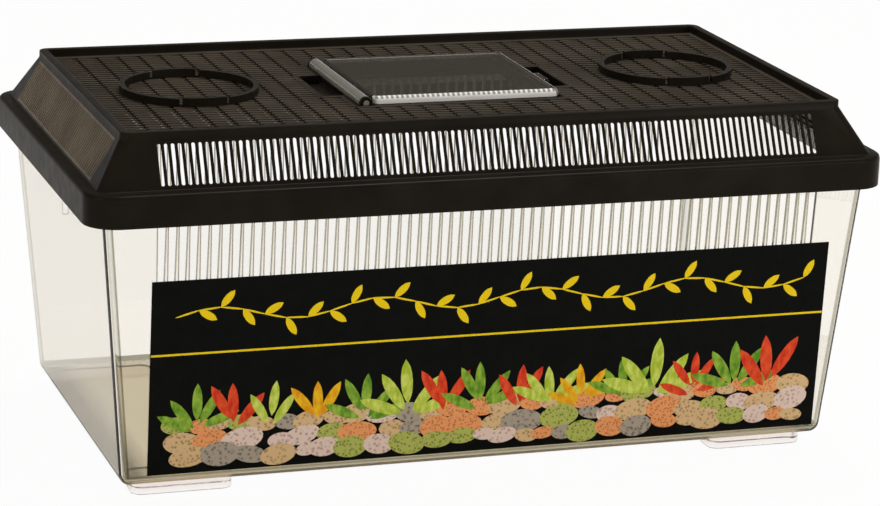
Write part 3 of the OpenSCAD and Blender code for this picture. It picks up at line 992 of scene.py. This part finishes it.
class TERRARIUM_OT_hatch(bpy.types.Operator):
    """Hatch frame, clear window, hinge barrel and latch tab"""

    bl_idname = "terrarium.hatch"
    bl_label = "Hatch"

    def execute(self, context):
        s, tints = context.scene.terrarium_hatch, context.scene.terrarium_finishes
        seat_black = black_plastic("black_hatch_frame", tints.lid, 0.24, 0.34)
        seat = refined("hatch_frame", "hatch_seat", s.edge, 2, 50)
        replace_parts(dressed(seat, "lid", "lid_plastic", seat_black), "hatch_frame")
        clear = clear_plastic("clear_hatch", tints.hatch, 200)
        low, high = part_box("hatch_window")
        l, w = high.x - low.x, high.y - low.y
        window = self.pane(l, w, (low.x + high.x) / 2, low.z, high.z, s.bevel, s.wall)
        # Painted highlight: the window's front wall is nearly opaque white, standing in for the
        # light it reflects, with painted dark teeth near its top.
        painted_highlight_wall = self.painted_highlight_plastic("hatch_wall_painted_highlight", (0.97, 0.96, 0.94), 0.5, 0.05, high.z - 1.7 * MM)
        # Painted highlight: a pale grey, partly opaque plastic for the window's right wall and the
        # hinge barrel, standing in for the highlights on clear plastic there.
        painted_highlight_edge = self.painted_highlight_plastic("hatch_edge_painted_highlight", (0.62, 0.60, 0.54), 0.12, 0.65)
        dressed(window, "hatch", "clear_hatch", clear, painted_highlight_wall, painted_highlight_edge)
        margin = 3 * MM
        edit(window)
        # The front wall's faces take the painted white highlight, the right wall's faces the
        # painted grey highlight.
        for index, test in (
            (1, lambda f: f.normal.y < -0.3 and f.calc_center_median().y < margin - w / 2),
            (2, lambda f: f.normal.x > 0.3 and f.calc_center_median().x > high.x - margin),
        ):
            pick(window, test, "FACE")
            window.active_material_index = index
            bpy.ops.object.material_slot_assign()
        leave()
        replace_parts(window, "hatch_window")
        # The hinge barrel takes the painted grey highlight.
        barrel = refined("hatch_hinge_barrel", "hatch_knuckle", 0.5 * MM, 3, 60)
        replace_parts(dressed(barrel, "hatch", "clear_hatch", painted_highlight_edge), "hatch_hinge_barrel")
        tab = refined("hatch_latch_tab", "hatch_finger_tab", 0.5 * MM, 3, 50)
        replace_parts(dressed(tab, "hatch", "clear_hatch", clear), "hatch_latch_tab")
        return {"FINISHED"}

    def painted_highlight_plastic(self, name, base, rough, clear, teeth=None):
        """Clear plastic made partly opaque and pale, a painted highlight on the faces that take
        it. Above the height given as teeth, a row of fine dark teeth is painted on it, painted
        shade for the lid's slots seen through it."""
        material, tree, shader, place = new_material(name)
        cloud = noise(tree, place, 90, 3)
        surface = ramp(tree, cloud, [(0.3, shade(base, 0.92)), (0.7, base)])
        # Painted shade: above that height, a row of dark teeth standing in for the lid's slots
        # seen through the wall.
        if teeth:
            x, _, z = axes_of(tree, place)
            tooth = maths(tree, "PINGPONG", maths(tree, "ABSOLUTE", x), 1.5 * MM)
            row = maths(
                tree, "MULTIPLY", between(tree, z, 0, 1, teeth, teeth + 0.3 * MM),
                between(tree, tooth, 0, 1, 0.5 * MM, 0.9 * MM),
            )
            surface = blended(tree, row, surface, shade(base, 0.3))
        tree.links.new(surface, shader.inputs["Base Color"])
        glossed(tree, shader, noise(tree, place, 300), rough, rough + 0.06)
        shader.inputs["Transmission Weight"].default_value = clear
        return material

    def pane(self, l, w, x, low, high, edge, t):
        """The window: a shallow clear cover, rounded over on all sides but the hinge's."""

        def level(cut, z, radius):
            return (l - cut, w - 2 * cut, radius - cut * 0.4, z, x - cut / 2)

        def rounded(radius, top, corner):
            """Levels of a wall that turns over into the top."""
            return [level(0, low, corner)] + [
                level(radius * (1 - math.cos(a)), top - radius * (1 - math.sin(a)), corner)
                for a in (math.radians(15 * turn) for turn in range(7))
            ]

        dome = lofted("hatch_pane", rounded(edge, high, 5 * MM))
        inner = rounded(0.6 * edge, high - t, 3 * MM)
        hollow = lofted(
            "hatch_hollow", [(a - 2 * t, b - 2 * t, c, d, e) for a, b, c, d, e in inner]
        )
        edit(hollow)
        pick(hollow, lambda v: v.co.z < low + 1e-5)
        bpy.ops.transform.translate(value=(0, 0, -MM))
        leave()
        carved(dome, hollow)
        return smoothed(dome, 35)


class TERRARIUM_OT_label(bpy.types.Operator):
    """Printed label on the front wall: a vine over a yellow line, pebbles and leaves under it"""

    bl_idname = "terrarium.label"
    bl_label = "Label"

    def execute(self, context):
        tints = context.scene.terrarium_finishes
        tank = context.scene.terrarium_tank
        low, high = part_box("front_label")
        lean = math.atan2(tank.lean_y, RIM - TANK_LOW)
        rise = (high.z - low.z) / math.cos(lean)
        foot = -(tank.width_top / 2 - tank.lean_y * (RIM - low.z) / (RIM - TANK_LOW))
        wall = Matrix.Translation((low.x, foot, low.z)) @ Matrix.Rotation(
            math.pi / 2 + lean, 4, "X"
        )
        l = high.x - low.x
        black, yellow = tints.print_field, tints.print_line
        field = printed("print_black", [(0.3, black), (0.7, shade(black, 1.6))], 120)
        sheet = block("label_sheet", (0, 0, 0), (l, rise, FILM))
        softened(sheet, 0.05 * MM, 1)
        self.finish(sheet, wall, field)
        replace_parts(sheet, "front_label")
        line = printed("print_yellow", [(0.3, yellow), (0.7, shade(yellow, 1.06))], rough=0.32)
        stripe = block("label_stripe", (0.4 * MM, LINE_HEIGHT - 0.6 * MM, 0.15 * MM),
                       (l - 0.4 * MM, LINE_HEIGHT + 0.6 * MM, 0.19 * MM))
        self.finish(softened(stripe, 0.01 * MM, 1), wall, line)
        self.vine(wall, l, line)
        self.pebbles(wall, l)
        self.leaves(wall, l)
        return {"FINISHED"}

    def finish(self, piece, wall, material):
        """Puts a flat printed piece on the leaning wall."""
        placed(piece, wall)
        dressed(piece, "tank", "label", material)

    def blot(self, long, wide, point, layer, points=20):
        """A flat printed shape: an ellipse, whose ends may be drawn out to points."""
        deselect()
        bpy.ops.mesh.primitive_circle_add(vertices=points, radius=0.5, fill_type="NGON")
        shape = bpy.context.object
        placed(shape, Matrix.Diagonal((long, wide, 1, 1)))
        edit(shape)
        if point:
            for sign in (-1, 1):
                pick(shape, lambda v: v.co.x * sign > 0.47 * long)
                bpy.ops.transform.resize(value=(1, 0, 1), center_override=(0, 0, 0))
                bpy.ops.transform.translate(value=(sign * point * long, 0, 0))
        pick_all()
        bpy.ops.mesh.remove_doubles(threshold=1e-6)
        extrude(INK)
        leave()
        placed(shape, Matrix.Translation((0, 0, layer)))
        return recalculated(shape)

    def pebbles(self, wall, l):
        """Rows of speckled river pebbles along the label's lower edge."""
        picker = random.Random(11)
        tones = {
            "sand": [(0.05, (0.30, 0.16, 0.07)), (0.5, (0.72, 0.50, 0.26))],
            "coral": [(0.05, (0.42, 0.10, 0.03)), (0.5, (0.86, 0.36, 0.14))],
            "slate": [(0.05, (0.10, 0.09, 0.07)), (0.5, (0.42, 0.36, 0.29))],
            "rose": [(0.05, (0.38, 0.24, 0.19)), (0.5, (0.80, 0.62, 0.54))],
            "olive": [(0.05, (0.10, 0.13, 0.02)), (0.5, (0.46, 0.50, 0.12))],
        }
        groups = {tone: [] for tone in tones}
        order = list(tones)
        layer = FILM
        for row, (y, size) in enumerate(((27, 16), (17, 19), (8.5, 17))):
            x = 15 + 4 * row
            while x < l / MM - 14:
                wide = size * picker.uniform(0.75, 1.35)
                tall = min(wide * picker.uniform(0.5, 0.7), 2 * y - 2.5)
                at = Matrix.Translation((x * MM, (y + picker.uniform(-1.5, 1.5)) * MM, 0))
                shape = self.blot(wide * MM, tall * MM, 0, layer)
                placed(shape, at @ Matrix.Rotation(picker.uniform(-0.25, 0.25), 4, "Z"))
                groups[order[picker.randrange(5)]].append(shape)
                x += wide * picker.uniform(0.72, 0.9)
                layer += 0.0006 * MM
        for tone, shapes in groups.items():
            ink = printed(f"print_{tone}", tones[tone], picker.uniform(420, 760), spots=True)
            self.finish(joined(shapes, f"label_pebbles_{tone}"), wall, ink)

    def vine(self, wall, l, ink):
        """A winding stem with yellow leaves along the upper field."""
        shapes = []
        count = 30
        points = [
            Vector(((14 + (l / MM - 28) * i / count), 91 + 4.5 * math.sin(i * 0.84))) * MM
            for i in range(count + 1)
        ]
        for turn, (start, end) in enumerate(zip(points, points[1:])):
            step = end - start
            lean = Matrix.Rotation(math.atan2(step.y, step.x), 4, "Z")
            layer = FILM + 0.001 * turn * MM
            stem = self.blot(step.length * 1.12, 1.1 * MM, 0, layer, 12)
            placed(stem, Matrix.Translation((*((start + end) / 2), 0)) @ lean)
            side = math.radians(46 if turn % 2 else -46)
            leaf = self.blot(10.5 * MM, 4.4 * MM, 0.07, layer + 0.04 * MM, 16)
            placed(leaf, Matrix.Translation((*end, 0)) @ lean @ Matrix.Rotation(side, 4, "Z")
                   @ Matrix.Translation((6.0 * MM, 0, 0)))
            shapes += [stem, leaf]
        self.finish(joined(shapes, "label_vine"), wall, ink)

    def leaves(self, wall, l):
        """Fans of pointed leaves that rise behind and over the pebbles."""
        picker = random.Random(5)
        tones = {
            "fern": [(0.35, (0.10, 0.26, 0.02)), (0.65, (0.34, 0.52, 0.06))],
            "lime": [(0.35, (0.38, 0.52, 0.03)), (0.65, (0.68, 0.76, 0.16))],
            "flame": [(0.35, (0.62, 0.035, 0.015)), (0.65, (0.82, 0.10, 0.03))],
            "amber": [(0.35, (0.78, 0.30, 0.01)), (0.65, (0.90, 0.56, 0.02))],
        }
        groups = {tone: [] for tone in tones}
        order = ["fern", "flame", "lime", "amber", "fern", "lime", "flame"]
        layer = 0.235 * MM
        x = 27
        turn = 0
        while x < l / MM - 25:
            tone = order[turn % len(order)]
            count = picker.choice((3, 5, 5))
            size = picker.uniform(20, 31)
            for leaf in range(count):
                lean = math.radians(90 + (leaf - (count - 1) / 2) * 34 + picker.uniform(-6, 6))
                shape = self.blot(size * MM * 0.86, size * 0.25 * MM, 0.06, layer, 16)
                at = Matrix.Translation((x * MM, (24 + picker.uniform(-2, 4)) * MM, 0))
                out = Matrix.Translation((size * 0.62 * MM, 0, 0))
                placed(shape, at @ Matrix.Rotation(lean, 4, "Z") @ out)
                groups[tone].append(shape)
                layer += 0.0005 * MM
            x += picker.uniform(17, 27)
            turn += 1
        for tone, shapes in groups.items():
            ink = printed(f"print_{tone}", tones[tone], 330, stretch=(1, 1, 0.5))
            self.finish(joined(shapes, f"label_leaves_{tone}"), wall, ink)


class TERRARIUM_OT_stage(bpy.types.Operator):
    """White floor, soft studio light and the camera"""

    bl_idname = "terrarium.stage"
    bl_label = "Stage"

    def execute(self, context):
        s = context.scene.terrarium_stage
        deselect()
        bpy.ops.mesh.primitive_plane_add(size=24)
        floor = bpy.context.object
        floor.name = "studio_floor"
        floor.data.materials.append(self.paper(s.floor_glow))
        self.world(context)
        for name, place, size, power, tint in (
            ("overhead_softbox", (0.55, 0.45, 2.0), 0.7, 22, (1.0, 0.98, 0.95)),
            ("left_softbox", (-2.0, -0.7, 0.9), 0.6, 9, (1.0, 0.93, 0.84)),
            ("front_softbox", (1.5, -2.1, 0.7), 1.0, 24, (1.0, 0.97, 0.93)),
        ):
            bpy.ops.object.light_add(type="AREA", location=place)
            lamp = bpy.context.object
            lamp.name = lamp.data.name = name
            lamp.data.shape, lamp.data.size = "SQUARE", size
            lamp.data.energy, lamp.data.color = power, tint
            aim = Vector((0, 0, 0.1)) - Vector(place)
            lamp.rotation_euler = aim.to_track_quat("-Z", "Y").to_euler()
        self.camera(context, s)
        context.scene.view_settings.view_transform = "Standard"
        return {"FINISHED"}

    def paper(self, glow):
        """Even white paper that still takes a soft shadow."""
        material, tree, shader, place = new_material("studio_paper")
        shader.inputs["Roughness"].default_value = 0.9
        shader.inputs["Specular IOR Level"].default_value = 0.1
        grain = noise(tree, place, 400, 2)
        coloured(tree, shader, grain, [(0.3, (0.93, 0.925, 0.91)), (0.7, (0.96, 0.955, 0.94))])
        light = tree.nodes.new("ShaderNodeEmission")
        light.inputs["Color"].default_value = (1, 1, 1, 1)
        path = tree.nodes.new("ShaderNodeLightPath")
        mirrored = maths(tree, "MULTIPLY", path.outputs["Is Glossy Ray"], 0.2)
        clear = maths(tree, "MAXIMUM", mirrored, path.outputs["Is Transmission Ray"])
        seen = maths(tree, "MAXIMUM", path.outputs["Is Camera Ray"], clear)
        even = maths(tree, "MULTIPLY", seen, glow)
        overlaid(tree, even, shader, light, tree.nodes["Material Output"])
        return material

    def world(self, context):
        """White where it is seen, softer and warmer as a light."""
        world = bpy.data.worlds.new("studio_world")
        context.scene.world = world
        world.use_nodes = True
        tree = world.node_tree
        room = tree.nodes["Background"]
        sky = axes_of(tree, tree.nodes.new("ShaderNodeTexCoord").outputs["Generated"])[2]
        tree.links.new(
            ramp(tree, sky, [(0.0, (0.3, 0.27, 0.23)), (0.3, (0.32, 0.29, 0.25)),
                             (0.75, (1.0, 0.96, 0.90))]),
            room.inputs["Color"],
        )
        room.inputs["Strength"].default_value = 0.36
        white = tree.nodes.new("ShaderNodeBackground")
        white.inputs["Color"].default_value = (1, 1, 1, 1)
        white.inputs["Strength"].default_value = 1
        path = tree.nodes.new("ShaderNodeLightPath")
        through = maths(tree, "MAXIMUM", path.outputs["Is Glossy Ray"],
                        path.outputs["Is Transmission Ray"])
        backdrop = maths(tree, "MULTIPLY", through, between(tree, sky, 1, 0, 0.04, 0.16))
        seen = maths(tree, "MAXIMUM", path.outputs["Is Camera Ray"], backdrop)
        overlaid(tree, seen, room, white, tree.nodes["World Output"])

    def camera(self, context, s):
        """The photographed view, with its slight lean."""
        turn, rise = s.camera_turn, s.camera_rise
        back = Vector((math.sin(turn) * math.cos(rise), -math.cos(turn) * math.cos(rise),
                       math.sin(rise)))
        right = (-back).cross(Vector((0, 0, 1))).normalized()
        up = right.cross(-back)
        lean = Matrix.Rotation(s.camera_roll, 3, "Z")
        turned = Matrix((right, up, back)).transposed() @ lean
        bpy.ops.object.camera_add()
        camera = bpy.context.object
        camera.name = "studio_camera"
        place = LOOKED_AT + back * s.camera_away
        camera.matrix_world = Matrix.Translation(place) @ turned.to_4x4()
        camera.data.sensor_width = SENSOR
        camera.data.lens = LENS * SENSOR / PHOTO_WIDE
        camera.data.shift_x = (PHOTO_WIDE / 2 - LENS_MIDDLE[0]) / PHOTO_WIDE
        camera.data.shift_y = (LENS_MIDDLE[1] - PHOTO_TALL / 2) / PHOTO_WIDE
        context.scene.camera = camera


OPERATORS = (
    TERRARIUM_OT_tank,
    TERRARIUM_OT_feet,
    TERRARIUM_OT_lid,
    TERRARIUM_OT_vents,
    TERRARIUM_OT_grille,
    TERRARIUM_OT_rings,
    TERRARIUM_OT_hatch,
    TERRARIUM_OT_label,
    TERRARIUM_OT_stage,
)

GROUPS = {
    "terrarium_tank": TankSizes,
    "terrarium_lid": LidSizes,
    "terrarium_hatch": HatchSizes,
    "terrarium_finishes": Finishes,
    "terrarium_stage": StageSettings,
}


class TERRARIUM_PT_panel(bpy.types.Panel):
    """Sizes, finishes and building steps of the terrarium"""

    bl_idname = "TERRARIUM_PT_panel"
    bl_label = "Flat Terrarium"
    bl_space_type = "VIEW_3D"
    bl_region_type = "UI"
    bl_category = "Terrarium"

    def draw(self, context):
        for name, group in GROUPS.items():
            box = self.layout.box()
            for key in group.__annotations__:
                box.prop(getattr(context.scene, name), key)
        for operator in OPERATORS:
            self.layout.operator(operator.bl_idname)


CLASSES = (*GROUPS.values(), *OPERATORS, TERRARIUM_PT_panel)


def register():
    for cls in CLASSES:
        bpy.utils.register_class(cls)
    for name, group in GROUPS.items():
        setattr(bpy.types.Scene, name, bpy.props.PointerProperty(type=group))


def unregister():
    for name in GROUPS:
        delattr(bpy.types.Scene, name)
    for cls in reversed(CLASSES):
        bpy.utils.unregister_class(cls)


def main():
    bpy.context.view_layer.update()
    register()
    for operator in OPERATORS:
        area, name = operator.bl_idname.split(".")
        getattr(getattr(bpy.ops, area), name)()


if __name__ == "__main__":
    main()
